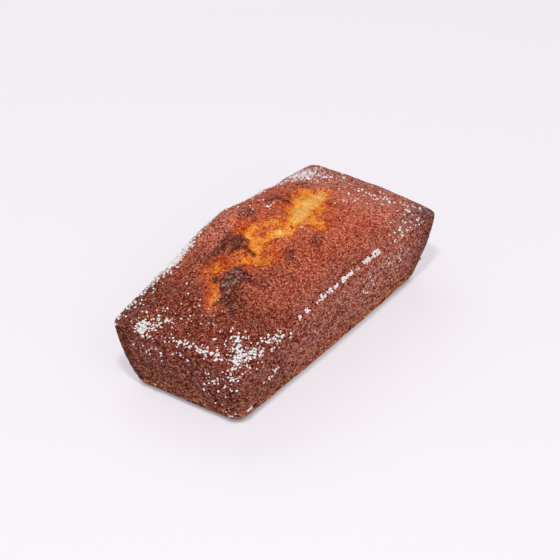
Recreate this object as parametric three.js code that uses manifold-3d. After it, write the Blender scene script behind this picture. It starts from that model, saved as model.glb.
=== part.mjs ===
// A financier: a small almond loaf baked in a tapered bar mould. Its top has risen above the rim, split
// along the crest and scorched in blotches, and clumps of coarse sugar cling to the rim and the corners.
// Millimetres, +Z up, the length along X, the origin under the middle of the flat base.
import * as THREE from "three";
import { mergeVertices } from "three/addons/utils/BufferGeometryUtils.js";
import Module from "manifold-3d";

const { clamp, degToRad, lerp, smoothstep } = THREE.MathUtils;

// Moulded body
const LENGTH = 100; // along X, at the rim
const WIDTH = 44.8; // along Y, at the rim
const RIM_HEIGHT = 21.7; // of the rim's four corners
const SIDE_DRAFT = degToRad(11.5); // lean of the long walls
const END_DRAFT = degToRad(13.4); // lean of the end walls
const RIM_CORNER = 2.8; // corner radius in plan at the rim
const BASE_CORNER = 5.5; // corner radius in plan at the base
const FOOT = 2.9; // radius between the walls and the base
const WALL_SWELL = 0.7; // outward curve of the walls at mid height

// Risen top
const SIDE_ARCH = 4.4; // rise of the long rims at mid length
const END_ARCH = 1.5; // rise of the short rims at mid width
const SIDE_BULGE = 0.9; // swell of the long rims at mid length
const CORNER_LIFT = 1; // of the corner at +X and +Y, which rose higher than the rest
const DOME_RISE = 8; // of the crest above the arched rims
const CREST_SOFTNESS = 0.3; // rounding of the crest along the length, as a share of half the length
const DOME_LENGTH_POWERS = [1.2, 1.25]; // fall of the dome towards the ends
const NEAR_POWERS = [2.3, 0.7]; // gentle fall towards -Y
const FAR_POWERS = [2.8, 0.42]; // steep shoulder towards +Y
const LEDGE = 0.955; // share of half the width where the dome meets the flat rim
// Crust pushed up beside the split
const SHOULDER = { rise: 3, u: -0.07, v: 0.72, lengthU: 0.24, widthV: 0.3 };

// Strokes of the split along the crest: x, y and half width at each turn
const SPLIT = [
  // Front leg
  [[-35.2, -2.2, 0.5], [-32.3, -1.2, 1], [-29, 1.2, 1.3], [-25.8, 3.6, 1.8], [-23.4, 5.4, 1.8]],
  // Between the blisters
  [
    [-23.4, 5.4, 1.8], [-20.5, 5.4, 1.6], [-17.8, 3.7, 1.6],
    [-16.2, 0.6, 1.6], [-14.8, -2.6, 1.9], [-13.6, -5.6, 1.4],
  ],
  [
    [-14.8, -2.6, 2.3], [-11.7, -0.6, 2.8], [-8.4, 1.6, 3.2],
    [-5.8, 5, 2.8], [-4.9, 8.6, 1.6], [-4.6, 10.8, 0.8],
  ],
  // Crest and back
  [[-8, 1.6, 2.8], [-4.5, 0.6, 3], [-1, -0.7, 3.3], [2.6, -0.9, 3.5], [7.4, -0.8, 3.7]],
  [[7.4, -0.8, 3.7], [15, 1.6, 4], [21.5, 3.6, 4.4], [27.5, 4.8, 4.2], [31, 4.8, 2.6]],
  // Near branches
  [[7.4, -1.2, 3.1], [10, -3.6, 3], [10.8, -5.6, 2.8], [9.6, -8.4, 1.8]],
  [[11, -3.2, 2.6], [15.7, -3.2, 2.2], [18.5, -1.4, 2.6], [22, -1, 1.9]],
  // Far branch
  [[10.5, 3, 1.8], [16, 4.8, 3], [20, 7.2, 3.2], [25, 8.2, 2.6]],
];
const SPLIT_DEPTH = 0.9;
const SPLIT_BANK = 2; // width of its sloping sides
const SPLIT_LIP = 0.3; // height of the crust turned up along it

// Scorched blisters: x, y, radius and height
const BLISTERS = [
  [-12.5, 8.4, 4.6, 1],
  [-22.5, -1.5, 4.2, 1.1],
  [-7, -9, 2.8, 0.6],
  [4, -10, 2.5, 0.6],
  [15, 10.5, 4.3, 0.8],
  [1.5, 12, 3.8, 0.6],
  [29.5, 12.8, 4, 0.6],
  [25.4, -1, 2.6, 0.5],
];

// Uneven crust: waves of these lengths and heights, each turned from the last
const LUMPS = [
  { length: 17, height: 0.3 },
  { length: 9.5, height: 0.18 },
  { length: 5.5, height: 0.1 },
];
const LUMP_TURN = degToRad(67);
const RIM_MARGIN = 0.12; // share of the half sizes over which the relief dies out towards the rim

// Sugar clumps: the lines along which they lie, in shares of half the length and half the width
const SUGAR_LINES = [
  { from: [-0.985, 0.48], to: [-0.925, 0.62], spread: 0.035, count: 10 }, // cluster behind the front rim
  { from: [-0.92, 0.4], to: [-0.86, 0.33], spread: 0.02, count: 4 },
  { from: [-0.97, 0.05], to: [-0.95, -0.58], spread: 0.015, count: 11 }, // front rim
  { from: [-0.76, -0.58], to: [-0.955, -0.88], spread: 0.03, count: 18 }, // front corner
  { from: [-0.85, -0.83], to: [-0.8, -0.965], spread: 0.03, count: 6 },
  { from: [-0.74, -0.92], to: [-0.62, -0.965], spread: 0.02, count: 4 },
  { from: [-0.86, -0.36], to: [-0.86, -0.39], spread: 0.01, count: 2 },
  { from: [-0.46, -0.985], to: [-0.34, -0.985], spread: 0.006, count: 2 }, // near long rim
  { from: [-0.27, -0.985], to: [-0.06, -0.985], spread: 0.006, count: 7 },
  { from: [-0.02, -0.985], to: [0.1, -0.985], spread: 0.006, count: 5 },
  { from: [0.19, -0.985], to: [0.37, -0.985], spread: 0.006, count: 8 },
  { from: [0.8, -0.8], to: [0.88, -0.72], spread: 0.03, count: 2 }, // back rim
  { from: [0.66, 0.84], to: [0.9, 0.45], spread: 0.06, count: 9 }, // far back corner
  { from: [-0.85, 0.975], to: [-0.3, 0.975], spread: 0.006, count: 5 }, // far long rim
];
const CLUMP_RADIUS = [0.4, 0.78]; // smallest and largest
const CLUMP_FLATTENING = 0.7; // height to width
const CLUMP_JITTER = 0.22; // unevenness of its corners
const CLUMP_SINK = 0.3; // share of its radius below the crust
const CLUMP_MARGIN = 1.25; // share of its radius that keeps it inside the rim
const SUGAR_SEED = 20240;

// Fineness of the surface
const CELLS = { length: 66, width: 34 };
const FOOT_ROWS = 3;
const WALL_ROWS = 4;
const BASE_TRIM = 2; // depth of the waste below the base, cut off flat
const SAME_POINT = 1e-4; // vertices closer than this are one

const CRUST = new THREE.MeshStandardMaterial({ color: 0x8f4426, roughness: 0.85, metalness: 0 });

// Repeatable random numbers from 0 to 1
function randomNumbers(seed) {
  let state = seed;
  return () => {
    state = (Math.imul(state, 1664525) + 1013904223) >>> 0;
    return state / 2 ** 32;
  };
}

// A square corner of the plan turned into a quarter circle of the given radius
function roundCorner(x, y, radius) {
  const startX = LENGTH / 2 - radius;
  const startY = WIDTH / 2 - radius;
  const overX = Math.abs(x) - startX;
  const overY = Math.abs(y) - startY;
  if (overX <= 0 || overY <= 0) return [x, y];
  const reach = Math.max(overX, overY);
  const share = (Math.min(overX, overY) / reach) * (Math.PI / 4);
  const angle = overX >= overY ? share : Math.PI / 2 - share;
  const roundX = Math.sign(x) * (startX + reach * Math.cos(angle));
  const roundY = Math.sign(y) * (startY + reach * Math.sin(angle));
  return [roundX, roundY];
}

// Plan of the loaf at shares u and v of its half sizes, swollen at mid length
function planPoint(u, v, radius) {
  const [x, y] = roundCorner((u * LENGTH) / 2, (v * WIDTH) / 2, radius);
  return [x, y + Math.sign(v) * SIDE_BULGE * (1 - u * u) * v ** 4];
}

function fall(distance, [inner, outer]) {
  return clamp(1 - distance ** inner, 0, 1) ** outer;
}

// Smooth risen top, without its crust relief
function domeHeight(u, v) {
  const arch = SIDE_ARCH * (1 - u * u) + END_ARCH * (1 - v * v) * u * u;
  const along = Math.hypot(u, CREST_SOFTNESS) - CREST_SOFTNESS;
  const reach = Math.hypot(1, CREST_SOFTNESS) - CREST_SOFTNESS;
  const lengthwise = fall(along / reach, DOME_LENGTH_POWERS);
  const across = fall(Math.abs(v) / LEDGE, v < 0 ? NEAR_POWERS : FAR_POWERS);
  const shoulderU = ((u - SHOULDER.u) / SHOULDER.lengthU) ** 2;
  const shoulderV = ((v - SHOULDER.v) / SHOULDER.widthV) ** 2;
  const onLedge = smoothstep(1 - Math.abs(v), 0, 1 - LEDGE);
  const shoulder = SHOULDER.rise * Math.exp(-shoulderU - shoulderV) * onLedge;
  const corner = CORNER_LIFT * Math.max(u, 0) ** 2 * Math.max(v, 0) ** 2;
  return RIM_HEIGHT + arch + DOME_RISE * lengthwise * across + shoulder + corner;
}

// Distance from the edge of the split, negative inside it
function splitDistance(x, y) {
  let nearest = Infinity;
  for (const stroke of SPLIT) {
    for (let i = 1; i < stroke.length; i += 1) {
      const [ax, ay, aHalf] = stroke[i - 1];
      const [bx, by, bHalf] = stroke[i];
      const run = (bx - ax) ** 2 + (by - ay) ** 2;
      const t = clamp(((x - ax) * (bx - ax) + (y - ay) * (by - ay)) / run, 0, 1);
      const gap = Math.hypot(x - lerp(ax, bx, t), y - lerp(ay, by, t)) - lerp(aHalf, bHalf, t);
      nearest = Math.min(nearest, gap);
    }
  }
  return nearest;
}

// Split, blisters and lumps of the crust
function crustRelief(x, y) {
  const gap = splitDistance(x, y);
  const sunk = SPLIT_DEPTH * smoothstep(-gap, 0, SPLIT_BANK);
  const lip = gap > 0 ? SPLIT_LIP * Math.exp(-((gap / SPLIT_BANK) ** 2)) : SPLIT_LIP;
  let relief = lip - sunk;
  const outside = smoothstep(gap, -SPLIT_BANK, 0);
  for (const [bx, by, radius, height] of BLISTERS) {
    const away = Math.hypot(x - bx, y - by) / radius;
    relief += height * outside * Math.exp(-2 * away * away);
  }
  LUMPS.forEach(({ length, height }, i) => {
    const cos = Math.cos(LUMP_TURN * i);
    const sin = Math.sin(LUMP_TURN * i);
    const wave = (2 * Math.PI) / length;
    const along = Math.sin(wave * (x * cos + y * sin) + i);
    relief += height * along * Math.sin(wave * (y * cos - x * sin) + 2 * i);
  });
  return relief;
}

// Point of the top at shares u and v
function topPoint(u, v) {
  const [x, y] = planPoint(u, v, RIM_CORNER);
  const inside = smoothstep(1 - Math.max(Math.abs(u), Math.abs(v)), 0, RIM_MARGIN);
  return new THREE.Vector3(x, y, domeHeight(u, v) + inside * crustRelief(x, y));
}

// Point of the walls: rows of the foot, then of the leaning wall, under the rim at shares u and v
function wallPoint(u, v, row) {
  const rim = domeHeight(u, v);
  const footAngle = (Math.min(row, FOOT_ROWS) / FOOT_ROWS) * (Math.PI / 2);
  const climb = Math.max(row - FOOT_ROWS, 0) / WALL_ROWS;
  const z = lerp(FOOT * (1 - Math.cos(footAngle)), rim, climb);
  const share = clamp(z / RIM_HEIGHT, 0, 1);
  const below = Math.max(RIM_HEIGHT - z, 0);
  const inset = FOOT * (1 - Math.sin(footAngle)) - WALL_SWELL * 4 * share * (1 - share);
  const endInset = inset + Math.tan(END_DRAFT) * below;
  const sideInset = inset + Math.tan(SIDE_DRAFT) * below;
  const [x, y] = planPoint(u, v, lerp(BASE_CORNER, RIM_CORNER, share));
  return new THREE.Vector3(x * (1 - endInset / (LENGTH / 2)), y * (1 - sideInset / (WIDTH / 2)), z);
}

// Grid line across the loaf moved so that the outermost cell is the flat rim
function ledgeLine(v) {
  const inner = 1 - 2 / CELLS.width;
  return Math.abs(v) > (1 + inner) / 2 ? v : (v * LEDGE) / inner;
}

// The loaf as a box whose grid is moved to the real surface, with waste below its base
function loafGeometry() {
  const rows = FOOT_ROWS + WALL_ROWS + 1;
  const geometry = new THREE.BoxGeometry(2, 2, rows, CELLS.length, CELLS.width, rows);
  const position = geometry.getAttribute("position");
  for (let i = 0; i < position.count; i += 1) {
    const u = position.getX(i);
    const v = ledgeLine(position.getY(i));
    const row = Math.round(position.getZ(i) + rows / 2) - 1;
    const onTop = row === rows - 1;
    const point = onTop ? topPoint(u, v) : wallPoint(u, v, Math.max(row, 0));
    if (row < 0) point.z = -BASE_TRIM;
    position.setXYZ(i, point.x, point.y, point.z);
  }
  return geometry;
}

// A rough lump of sugar
function clumpGeometry(radius, random) {
  const geometry = mergedGeometry(new THREE.IcosahedronGeometry(radius, 0));
  const position = geometry.getAttribute("position");
  for (let i = 0; i < position.count; i += 1) {
    const swell = 1 + CLUMP_JITTER * (2 * random() - 1);
    const height = position.getZ(i) * swell * CLUMP_FLATTENING;
    position.setXYZ(i, position.getX(i) * swell, position.getY(i) * swell, height);
  }
  return geometry.rotateZ(random() * Math.PI);
}

// Clumps strewn along the sugar lines, sunk a little into the crust
function sugarClumps() {
  const random = randomNumbers(SUGAR_SEED);
  const clumps = [];
  for (const { from, to, spread, count } of SUGAR_LINES) {
    for (let i = 0; i < count; i += 1) {
      const along = (i + random()) / count;
      const stray = [random() + random() - 1, random() + random() - 1];
      const radius = lerp(CLUMP_RADIUS[0], CLUMP_RADIUS[1], random() ** 2);
      const reachU = 1 - (CLUMP_MARGIN * radius) / (LENGTH / 2);
      const reachV = 1 - (CLUMP_MARGIN * radius) / (WIDTH / 2);
      const u = clamp(lerp(from[0], to[0], along) + spread * stray[0], -reachU, reachU);
      const v = clamp(lerp(from[1], to[1], along) + spread * stray[1], -reachV, reachV);
      const place = topPoint(u, v);
      const lift = radius * (CLUMP_FLATTENING / 2 - CLUMP_SINK);
      clumps.push(clumpGeometry(radius, random).translate(place.x, place.y, place.z + lift));
    }
  }
  return clumps;
}

// Shared vertices only, with nothing but their positions
function mergedGeometry(geometry) {
  geometry.deleteAttribute("normal");
  geometry.deleteAttribute("uv");
  return mergeVertices(geometry, SAME_POINT);
}

const wasm = await Module();
wasm.setup();

function solid(geometry) {
  const merged = mergedGeometry(geometry);
  const vertProperties = merged.getAttribute("position").array;
  const triVerts = new Uint32Array(merged.index.array);
  return new wasm.Manifold(new wasm.Mesh({ numProp: 3, vertProperties, triVerts }));
}

function geometryOf(manifold) {
  const { vertProperties, triVerts } = manifold.getMesh();
  const geometry = new THREE.BufferGeometry();
  geometry.setAttribute("position", new THREE.BufferAttribute(vertProperties, 3));
  geometry.setIndex(new THREE.BufferAttribute(triVerts, 1));
  geometry.computeVertexNormals();
  return geometry;
}

// The loaf cut flat at its base, with the sugar joined on
function cakeGeometry() {
  const waste = new THREE.BoxGeometry(2 * LENGTH, 2 * WIDTH, 2 * BASE_TRIM + 2);
  waste.translate(0, 0, -BASE_TRIM - 1);
  let cake = solid(loafGeometry()).subtract(solid(waste));
  for (const clump of sugarClumps()) cake = cake.add(solid(clump));
  return geometryOf(cake);
}

const cake = new THREE.Mesh(cakeGeometry(), CRUST);
cake.name = "cake";

const financier = new THREE.Group();
financier.add(cake);

export default financier;
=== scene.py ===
"""Looks of a financier: a small almond loaf with a split, scorched crust and coarse sugar."""

import itertools
import logging
import math
from collections.abc import Sequence
from dataclasses import dataclass, field
from enum import Enum

import bmesh
import bpy
import numpy as np
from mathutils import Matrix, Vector
from mathutils.bvhtree import BVHTree


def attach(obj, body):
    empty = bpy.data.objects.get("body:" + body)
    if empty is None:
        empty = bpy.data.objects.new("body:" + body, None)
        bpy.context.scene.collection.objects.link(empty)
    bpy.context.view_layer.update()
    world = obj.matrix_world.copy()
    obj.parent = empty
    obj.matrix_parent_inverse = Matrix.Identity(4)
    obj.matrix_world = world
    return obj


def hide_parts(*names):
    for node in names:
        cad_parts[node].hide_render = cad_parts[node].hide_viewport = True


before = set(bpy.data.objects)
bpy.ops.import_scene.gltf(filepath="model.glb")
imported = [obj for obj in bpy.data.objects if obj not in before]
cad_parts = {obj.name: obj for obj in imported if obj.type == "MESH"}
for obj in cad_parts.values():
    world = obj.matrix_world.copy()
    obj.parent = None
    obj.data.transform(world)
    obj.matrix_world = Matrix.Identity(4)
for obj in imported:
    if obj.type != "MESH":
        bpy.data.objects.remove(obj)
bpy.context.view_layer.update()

MM = 0.001
LOG = logging.getLogger("financier")
Array = np.ndarray
Pair = tuple[float, float]
Triple = tuple[float, float, float]
Spot = tuple[float, float, float, float]
Stroke = tuple[Triple, ...]
Colour = Triple


def smoothstep(value: Array, low: float, high: float) -> Array:
    """Smooth rise from 0 at low to 1 at high."""
    share = np.clip((value - low) / (high - low), 0.0, 1.0)
    return share * share * (3.0 - 2.0 * share)


def stroke_distance(strokes: Sequence[Stroke], x: Array, y: Array) -> Array:
    """Distance from the edge of the nearest stroke, negative inside it.

    Args:
        strokes: The strokes' turns, each with its place and its half width.
        x: Places along the length.
        y: Places along the width.

    Returns:
        One distance for each place.
    """
    nearest = np.full(np.shape(x), 1e3)
    for stroke in strokes:
        for (ax, ay, a_half), (bx, by, b_half) in itertools.pairwise(stroke):
            run = (bx - ax) ** 2 + (by - ay) ** 2
            share = np.clip(((x - ax) * (bx - ax) + (y - ay) * (by - ay)) / run, 0.0, 1.0)
            away = np.hypot(x - ax - share * (bx - ax), y - ay - share * (by - ay))
            nearest = np.minimum(nearest, away - a_half - share * (b_half - a_half))
    return nearest


def spot_strength(spots: Sequence[Spot], x: Array, y: Array) -> Array:
    """Strength of the strongest spot at each place.

    Args:
        spots: The spots' places, radii and strengths.
        x: Places along the length.
        y: Places along the width.

    Returns:
        One strength for each place.
    """
    strength = np.zeros(np.shape(x))
    for at_x, at_y, radius, amount in spots:
        added = amount * np.exp(-((np.hypot(x - at_x, y - at_y) / radius) ** 3))
        strength = np.where(np.abs(added) > np.abs(strength), added, strength)
    return strength


def vertex_rows(mesh: bpy.types.Mesh, kind: str) -> Array:
    """Places ("co") or directions ("normal") of a mesh's vertices, one row each."""
    rows = np.empty(len(mesh.vertices) * 3)
    mesh.vertices.foreach_get(kind, rows)
    return rows.reshape(-1, 3)


def add_object(name: str, data: bpy.types.ID) -> bpy.types.Object:
    """Adds an object for a mesh, a light or a camera."""
    made = bpy.data.objects.new(name, data)
    bpy.context.collection.objects.link(made)
    return made


class Side(Enum):
    """A side of the loaf on which things lie."""

    TOP = "top"
    FRONT = "front"
    BACK = "back"
    NEAR = "near"
    FAR = "far"


class LatticeNoise:
    """Smooth repeatable noise from a lattice of random values."""

    LAYER_SHIFT = 17.3

    def __init__(self, seed: int, cells: int = 64) -> None:
        """Fills the lattice.

        Args:
            seed: Start of the random numbers.
            cells: Lattice points along each side, after which the noise repeats.
        """
        self.cells = cells
        rng = np.random.default_rng(seed)
        self.values = rng.uniform(-1.0, 1.0, (cells, cells, cells))
        self.turn = np.linalg.qr(rng.normal(size=(3, 3)))[0]

    def at(self, points: Array, size: float) -> Array:
        """Noise from -1 to 1.

        Args:
            points: Places, one row each.
            size: Distance between lattice points, in the units of the places.

        Returns:
            One value for each place.
        """
        scaled = points @ self.turn / size
        base = np.floor(scaled).astype(int)
        share = scaled - base
        share = share * share * (3.0 - 2.0 * share)
        total = np.zeros(len(points))
        for corner in itertools.product((0, 1), repeat=3):
            weight = np.prod(np.where(corner, share, 1.0 - share), axis=1)
            cell = (base + corner) % self.cells
            total += weight * self.values[cell[:, 0], cell[:, 1], cell[:, 2]]
        return total

    def layered(self, points: Array, size: float, layers: int) -> Array:
        """Noise of several sizes, each half the last in size and strength."""
        total = np.zeros(len(points))
        for i in range(layers):
            share = 0.5**i
            total += share * self.at(points + self.LAYER_SHIFT * i, size * share)
        return total


@dataclass(frozen=True)
class Bumps:
    """Unevenness from noise in millimetres; a cut keeps only what rises through its range."""

    height: float
    size: float
    shift: float
    layers: int = 1
    cut: Pair | None = None

    def at(self, noise: LatticeNoise, points: Array) -> Array:
        """Heights at points, one for each row."""
        swing = noise.layered(points + self.shift, self.size, self.layers)
        return self.height * (swing if self.cut is None else smoothstep(swing, *self.cut))


@dataclass(frozen=True)
class LoafForm:
    """Shape of the loaf in millimetres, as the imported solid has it."""

    length: float = 100.0
    width: float = 44.8
    rim_height: float = 21.7
    draft: float = math.radians(11.5)
    end_draft: float = math.radians(13.4)
    rim_corner: float = 2.8
    base_corner: float = 5.5
    foot: float = 2.9
    wall_swell: float = 0.7
    side_arch: float = 4.4
    end_arch: float = 1.5
    side_bulge: float = 0.9
    corner_lift: float = 1.0
    dome_rise: float = 8.0
    crest_softness: float = 0.3
    length_powers: Pair = (1.2, 1.25)
    near_powers: Pair = (2.3, 0.7)
    far_powers: Pair = (2.8, 0.42)
    ledge: float = 0.955
    shoulder_rise: float = 3.0
    shoulder_middle: Pair = (-0.07, 0.72)
    shoulder_size: Pair = (0.24, 0.3)
    split: tuple[Stroke, ...] = (
        ((-35.2, -2.2, 0.5), (-32.3, -1.2, 1.0), (-29.0, 1.2, 1.3), (-25.8, 3.6, 1.8), (-23.4, 5.4, 1.8)),
        (
            (-23.4, 5.4, 1.8),
            (-20.5, 5.4, 1.6),
            (-17.8, 3.7, 1.6),
            (-16.2, 0.6, 1.6),
            (-14.8, -2.6, 1.9),
            (-13.6, -5.6, 1.4),
        ),
        (
            (-14.8, -2.6, 2.3),
            (-11.7, -0.6, 2.8),
            (-8.4, 1.6, 3.2),
            (-5.8, 5.0, 2.8),
            (-4.9, 8.6, 1.6),
            (-4.6, 10.8, 0.8),
        ),
        ((-8.0, 1.6, 2.8), (-4.5, 0.6, 3.0), (-1.0, -0.7, 3.3), (2.6, -0.9, 3.5), (7.4, -0.8, 3.7)),
        ((7.4, -0.8, 3.7), (15.0, 1.6, 4.0), (21.5, 3.6, 4.4), (27.5, 4.8, 4.2), (31.0, 4.8, 2.6)),
        ((7.4, -1.2, 3.1), (10.0, -3.6, 3.0), (10.8, -5.6, 2.8), (9.6, -8.4, 1.8)),
        ((11.0, -3.2, 2.6), (15.7, -3.2, 2.2), (18.5, -1.4, 2.6), (22.0, -1.0, 1.9)),
        ((10.5, 3.0, 1.8), (16.0, 4.8, 3.0), (20.0, 7.2, 3.2), (25.0, 8.2, 2.6)),
    )
    split_depth: float = 0.9
    split_bank: float = 2.0
    split_lip: float = 0.3
    blisters: tuple[Spot, ...] = (
        (-12.5, 8.4, 4.6, 1.0),
        (-22.5, -1.5, 4.2, 1.1),
        (-7.0, -9.0, 2.8, 0.6),
        (4.0, -10.0, 2.5, 0.6),
        (15.0, 10.5, 4.3, 0.8),
        (1.5, 12.0, 3.8, 0.6),
        (29.5, 12.8, 4.0, 0.6),
        (25.4, -1.0, 2.6, 0.5),
    )
    lumps: tuple[Pair, ...] = ((17.0, 0.3), (9.5, 0.18), (5.5, 0.1))
    lump_turn: float = math.radians(67.0)
    rim_margin: float = 0.12

    def round_corner(self, x: Array, y: Array, radius: Array | float) -> tuple[Array, Array]:
        """Turns the plan's square corners into quarter circles.

        Args:
            x: Places along the length.
            y: Places along the width.
            radius: Radius of the corners, one for all or one for each place.

        Returns:
            The moved places along the length and the width.
        """
        start_x = self.length / 2 - radius
        start_y = self.width / 2 - radius
        over_x = np.abs(x) - start_x
        over_y = np.abs(y) - start_y
        reach = np.maximum(np.maximum(over_x, over_y), 1e-9)
        share = np.clip(np.minimum(over_x, over_y) / reach, 0.0, 1.0) * (math.pi / 4)
        angle = np.where(over_x >= over_y, share, math.pi / 2 - share)
        corner = (over_x > 0) & (over_y > 0)
        round_x = np.sign(x) * (start_x + reach * np.cos(angle))
        round_y = np.sign(y) * (start_y + reach * np.sin(angle))
        return np.where(corner, round_x, x), np.where(corner, round_y, y)

    def plan(self, u: Array, v: Array, radius: Array | float) -> tuple[Array, Array]:
        """Plan of the loaf at shares of its half sizes.

        Args:
            u: Shares of half the length, from -1 to 1.
            v: Shares of half the width, from -1 to 1.
            radius: Radius of the corners.

        Returns:
            Places along the length and the width.
        """
        x, y = self.round_corner(u * self.length / 2, v * self.width / 2, radius)
        return x, y + np.sign(v) * self.side_bulge * (1.0 - u * u) * v**4

    def fall(self, distance: Array, powers: Pair) -> Array:
        """Fall of the dome from 1 at its crest to 0 at its edge."""
        return np.clip(1.0 - distance ** powers[0], 0.0, 1.0) ** powers[1]

    def dome(self, u: Array, v: Array) -> Array:
        """Height of the risen top without its crust relief.

        Args:
            u: Shares of half the length.
            v: Shares of half the width.

        Returns:
            Heights above the base.
        """
        arch = self.side_arch * (1.0 - u * u) + self.end_arch * (1.0 - v * v) * u * u
        along = np.hypot(u, self.crest_softness) - self.crest_softness
        reach = math.hypot(1.0, self.crest_softness) - self.crest_softness
        lengthwise = self.fall(along / reach, self.length_powers)
        away = np.abs(v) / self.ledge
        across = np.where(v < 0, self.fall(away, self.near_powers), self.fall(away, self.far_powers))
        spread_u = ((u - self.shoulder_middle[0]) / self.shoulder_size[0]) ** 2
        spread_v = ((v - self.shoulder_middle[1]) / self.shoulder_size[1]) ** 2
        shoulder = self.shoulder_rise * np.exp(-spread_u - spread_v)
        shoulder = shoulder * smoothstep(1.0 - np.abs(v), 0.0, 1.0 - self.ledge)
        corner = self.corner_lift * np.maximum(u, 0.0) ** 2 * np.maximum(v, 0.0) ** 2
        return self.rim_height + arch + self.dome_rise * lengthwise * across + shoulder + corner

    def relief(self, x: Array, y: Array) -> Array:
        """Split, blisters and lumps of the crust.

        Args:
            x: Places along the length.
            y: Places along the width.

        Returns:
            Heights above the smooth dome.
        """
        gap = stroke_distance(self.split, x, y)
        sunk = self.split_depth * smoothstep(-gap, 0.0, self.split_bank)
        lip = self.split_lip * np.exp(-((np.maximum(gap, 0.0) / self.split_bank) ** 2))
        height = lip - sunk
        outside = smoothstep(gap, -self.split_bank, 0.0)
        for bx, by, radius, rise in self.blisters:
            away = np.hypot(x - bx, y - by) / radius
            height = height + rise * outside * np.exp(-2.0 * away * away)
        for i, (length, rise) in enumerate(self.lumps):
            cos = math.cos(self.lump_turn * i)
            sin = math.sin(self.lump_turn * i)
            wave = 2.0 * math.pi / length
            along = np.sin(wave * (x * cos + y * sin) + i)
            height = height + rise * along * np.sin(wave * (y * cos - x * sin) + 2 * i)
        return height

    def top(self, u: Array, v: Array) -> Array:
        """Points of the top at shares of the half sizes, one row each."""
        x, y = self.plan(u, v, self.rim_corner)
        inside = smoothstep(1.0 - np.maximum(np.abs(u), np.abs(v)), 0.0, self.rim_margin)
        return np.column_stack([x, y, self.dome(u, v) + inside * self.relief(x, y)])

    def wall(self, u: Array, v: Array, foot: Array, climb: Array) -> Array:
        """Points of the walls under the rim.

        Args:
            u: Shares of half the length at the rim.
            v: Shares of half the width at the rim.
            foot: Turn along the rounded foot, from 0 at the base to half pi at its top.
            climb: Share of the way from the foot to the rim.

        Returns:
            The points, one row each.
        """
        low = self.foot * (1.0 - np.cos(foot))
        z = low + (self.dome(u, v) - low) * climb
        share = np.clip(z / self.rim_height, 0.0, 1.0)
        below = np.maximum(self.rim_height - z, 0.0)
        inset = self.foot * (1.0 - np.sin(foot)) - self.wall_swell * 4.0 * share * (1.0 - share)
        end_inset = inset + math.tan(self.end_draft) * below
        side_inset = inset + math.tan(self.draft) * below
        x, y = self.plan(u, v, self.base_corner + (self.rim_corner - self.base_corner) * share)
        x = x * (1.0 - 2.0 * end_inset / self.length)
        y = y * (1.0 - 2.0 * side_inset / self.width)
        return np.column_stack([x, y, z])

    def on(self, side: Side, a: Array, b: Array) -> Array:
        """Points on one side of the loaf.

        Args:
            side: The side.
            a: Shares of half the length or half the width, along the side.
            b: On the top shares of half the width, on a wall the share of the way up from the foot.

        Returns:
            The points, one row each.
        """
        if side is Side.TOP:
            return self.top(a, b)
        edge = np.ones_like(a)
        u, v = {
            Side.FRONT: (-edge, a),
            Side.BACK: (edge, a),
            Side.NEAR: (a, -edge),
            Side.FAR: (a, edge),
        }[side]
        return self.wall(u, v, edge * math.pi / 2, np.clip(b, 0.0, 1.0))

    def inward(self, u: Array, v: Array) -> Array:
        """Distance in from the rim, in plan, at shares of the half sizes."""
        return np.minimum((1.0 - np.abs(u)) * self.length / 2, (1.0 - np.abs(v)) * self.width / 2)


class Value:
    """A number socket that takes part in Python expressions."""

    def __init__(self, sheet: "NodeSheet", socket: bpy.types.NodeSocket) -> None:
        """Wraps a socket of a material's nodes."""
        self.sheet = sheet
        self.socket = socket

    def _math(self, operation: str, *terms: "Value | float") -> "Value":
        """Adds a Math node on the given terms."""
        node = self.sheet.add("ShaderNodeMath", {"operation": operation}, dict(enumerate(terms)))
        return Value(self.sheet, node.outputs[0])

    def __add__(self, other: "Value | float") -> "Value":
        """Sum."""
        return self._math("ADD", self, other)

    def __radd__(self, other: float) -> "Value":
        """Sum with a number first."""
        return self._math("ADD", other, self)

    def __sub__(self, other: "Value | float") -> "Value":
        """Difference."""
        return self._math("SUBTRACT", self, other)

    def __rsub__(self, other: float) -> "Value":
        """Difference with a number first."""
        return self._math("SUBTRACT", other, self)

    def __mul__(self, other: "Value | float") -> "Value":
        """Product."""
        return self._math("MULTIPLY", self, other)

    def __rmul__(self, other: float) -> "Value":
        """Product with a number first."""
        return self._math("MULTIPLY", other, self)

    def rise(self, low: float, high: float) -> "Value":
        """Smooth rise from 0 at low to 1 at high."""
        inputs = {"Value": self, "From Min": low, "From Max": high}
        node = self.sheet.add("ShaderNodeMapRange", {"interpolation_type": "SMOOTHSTEP"}, inputs)
        return Value(self.sheet, node.outputs["Result"])

    def toward(self, other: "Value", share: "Value") -> "Value":
        """Passes over to another value by a share."""
        return self + (other - self) * share

    def most(self, other: "Value | float") -> "Value":
        """The larger of two values."""
        return self._math("MAXIMUM", self, other)

    def size(self) -> "Value":
        """Size without its sign."""
        return self._math("ABSOLUTE", self)

    def root(self) -> "Value":
        """Square root."""
        return self._math("SQRT", self)


Tint = bpy.types.NodeSocket | Colour
Tones = tuple[Colour, Colour, Colour]


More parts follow.
